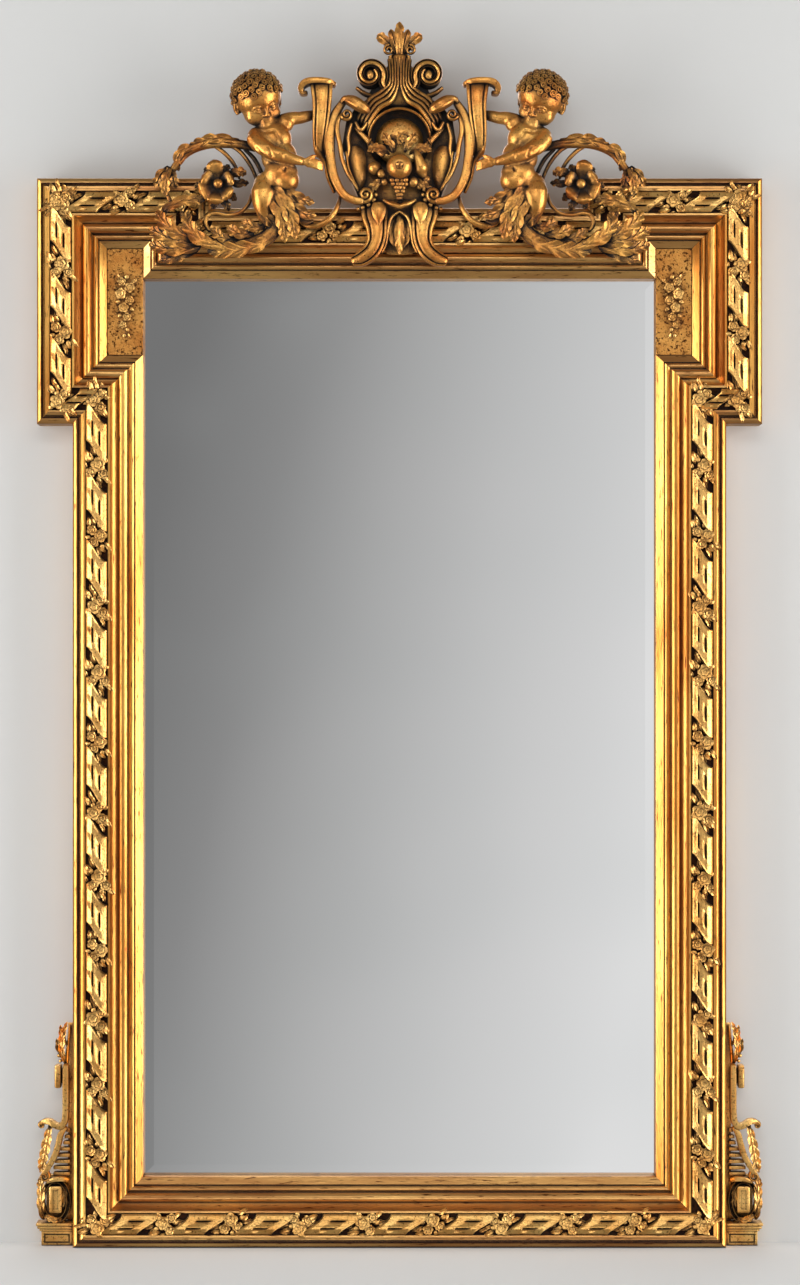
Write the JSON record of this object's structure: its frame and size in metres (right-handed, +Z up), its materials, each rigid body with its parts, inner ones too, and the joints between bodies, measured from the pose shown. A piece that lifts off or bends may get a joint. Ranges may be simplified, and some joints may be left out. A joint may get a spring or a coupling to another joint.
{
  "type": "trumeau mirror",
  "caption": "Tall gilt trumeau mirror: eared moulded frame with ribbon garland, carved crest with cherubs and cartouche, bevelled glass, side brackets, back fittings.",
  "frame": {"origin": "centre line of the mirror, on the plane it stands on, 35 mm in front of the wall plane", "axes": "+X to the viewer's right, +Y to the wall, +Z up"},
  "size_m": [1.0986, 0.1285, 1.843],
  "materials": {
    "pine": "bare planed pine, darkened",
    "gilt_moulding": "water-gilt over red bole, rubbed on the high edges, umber in the quirks",
    "gilt_panel": "sanded and gilt, speckled",
    "gilt_garland": "gilt composition ornament, umber in the hollows",
    "gilt_carving": "carved and gilt, burnished on the heights, dark toned in the hollows",
    "silvered_glass": "silvered plate, bevelled edge",
    "backing": "thin board, unfinished",
    "brass_button": "dull brass",
    "hanger_steel": "zinc plated",
    "screw_steel": "dull steel",
    "strap_iron": "blackened wrought strap"
  },
  "bodies": {
    "root": {"backing_board": "backing", "carcass_rail_bottom": "pine", "carcass_rail_top": "pine", "carcass_stile_left": "pine", "carcass_stile_right": "pine", "cartouche_block": "gilt_carving", "cartouche_cap": "gilt_carving", "cartouche_foot": "gilt_carving", "cartouche_medallion": "gilt_carving", "cherub_left": "gilt_carving", "cherub_right": "gilt_carving", "crest_strap": "strap_iron", "ear_block_left": "pine", "ear_block_right": "pine", "ear_cap_left": "pine", "ear_cap_right": "pine", "ear_panel_left": "gilt_panel", "ear_panel_right": "gilt_panel", "finial_palmette": "gilt_carving", "floral_drop_left": "gilt_garland", "floral_drop_right": "gilt_garland", "foliage_lower_left": "gilt_carving", "foliage_lower_right": "gilt_carving", "foliage_upper_left": "gilt_carving", "foliage_upper_right": "gilt_carving", "fruit_bouquet": "gilt_carving", "garland_bottom": "gilt_garland", "garland_ear_left": "gilt_garland", "garland_ear_right": "gilt_garland", "garland_side_left": "gilt_garland", "garland_side_right": "gilt_garland", "garland_top": "gilt_garland", "hanger_plate_left": "hanger_steel", "hanger_plate_right": "hanger_steel", "mirror_glass": "silvered_glass", "moulding_bottom": "gilt_moulding", "moulding_ear_side_left": "gilt_moulding", "moulding_ear_side_right": "gilt_moulding", "moulding_ear_top_left": "gilt_moulding", "moulding_ear_top_right": "gilt_moulding", "moulding_ear_under_left": "gilt_moulding", "moulding_ear_under_right": "gilt_moulding", "moulding_side_left": "gilt_moulding", "moulding_side_right": "gilt_moulding", "moulding_step_left": "gilt_moulding", "moulding_step_right": "gilt_moulding", "moulding_top": "gilt_moulding", "side_bracket_left": "gilt_carving", "side_bracket_right": "gilt_carving", "strapwork_left": "gilt_carving", "strapwork_right": "gilt_carving", "wood_screws": "screw_steel"},
    "turn_button_lower_left": {"turn_button_lower_left": "brass_button"},
    "turn_button_upper_left": {"turn_button_upper_left": "brass_button"},
    "hanger_ring_left": {"hanger_ring_left": "hanger_steel"},
    "turn_button_lower_right": {"turn_button_lower_right": "brass_button"},
    "turn_button_upper_right": {"turn_button_upper_right": "brass_button"},
    "hanger_ring_right": {"hanger_ring_right": "hanger_steel"}
  },
  "joints": [
    {"name": "turn_button_lower_left_turn", "type": "hinge", "parent": "root", "child": "turn_button_lower_left", "pos_m": [-0.411, 0.031, 0.3], "axis": [0, 1, 0], "range_deg": [0, 90]},
    {"name": "turn_button_upper_left_turn", "type": "hinge", "parent": "root", "child": "turn_button_upper_left", "pos_m": [-0.411, 0.031, 1.26], "axis": [0, 1, 0], "range_deg": [0, 90]},
    {"name": "hanger_ring_left_swing", "type": "hinge", "parent": "root", "child": "hanger_ring_left", "pos_m": [-0.4445, 0.0311, 1.13], "axis": [1, 0, 0], "range_deg": [0, 170]},
    {"name": "turn_button_lower_right_turn", "type": "hinge", "parent": "root", "child": "turn_button_lower_right", "pos_m": [0.411, 0.031, 0.3], "axis": [0, 1, 0], "range_deg": [0, 90]},
    {"name": "turn_button_upper_right_turn", "type": "hinge", "parent": "root", "child": "turn_button_upper_right", "pos_m": [0.411, 0.031, 1.26], "axis": [0, 1, 0], "range_deg": [0, 90]},
    {"name": "hanger_ring_right_swing", "type": "hinge", "parent": "root", "child": "hanger_ring_right", "pos_m": [0.4445, 0.0311, 1.13], "axis": [1, 0, 0], "range_deg": [0, 170]}
  ]
}
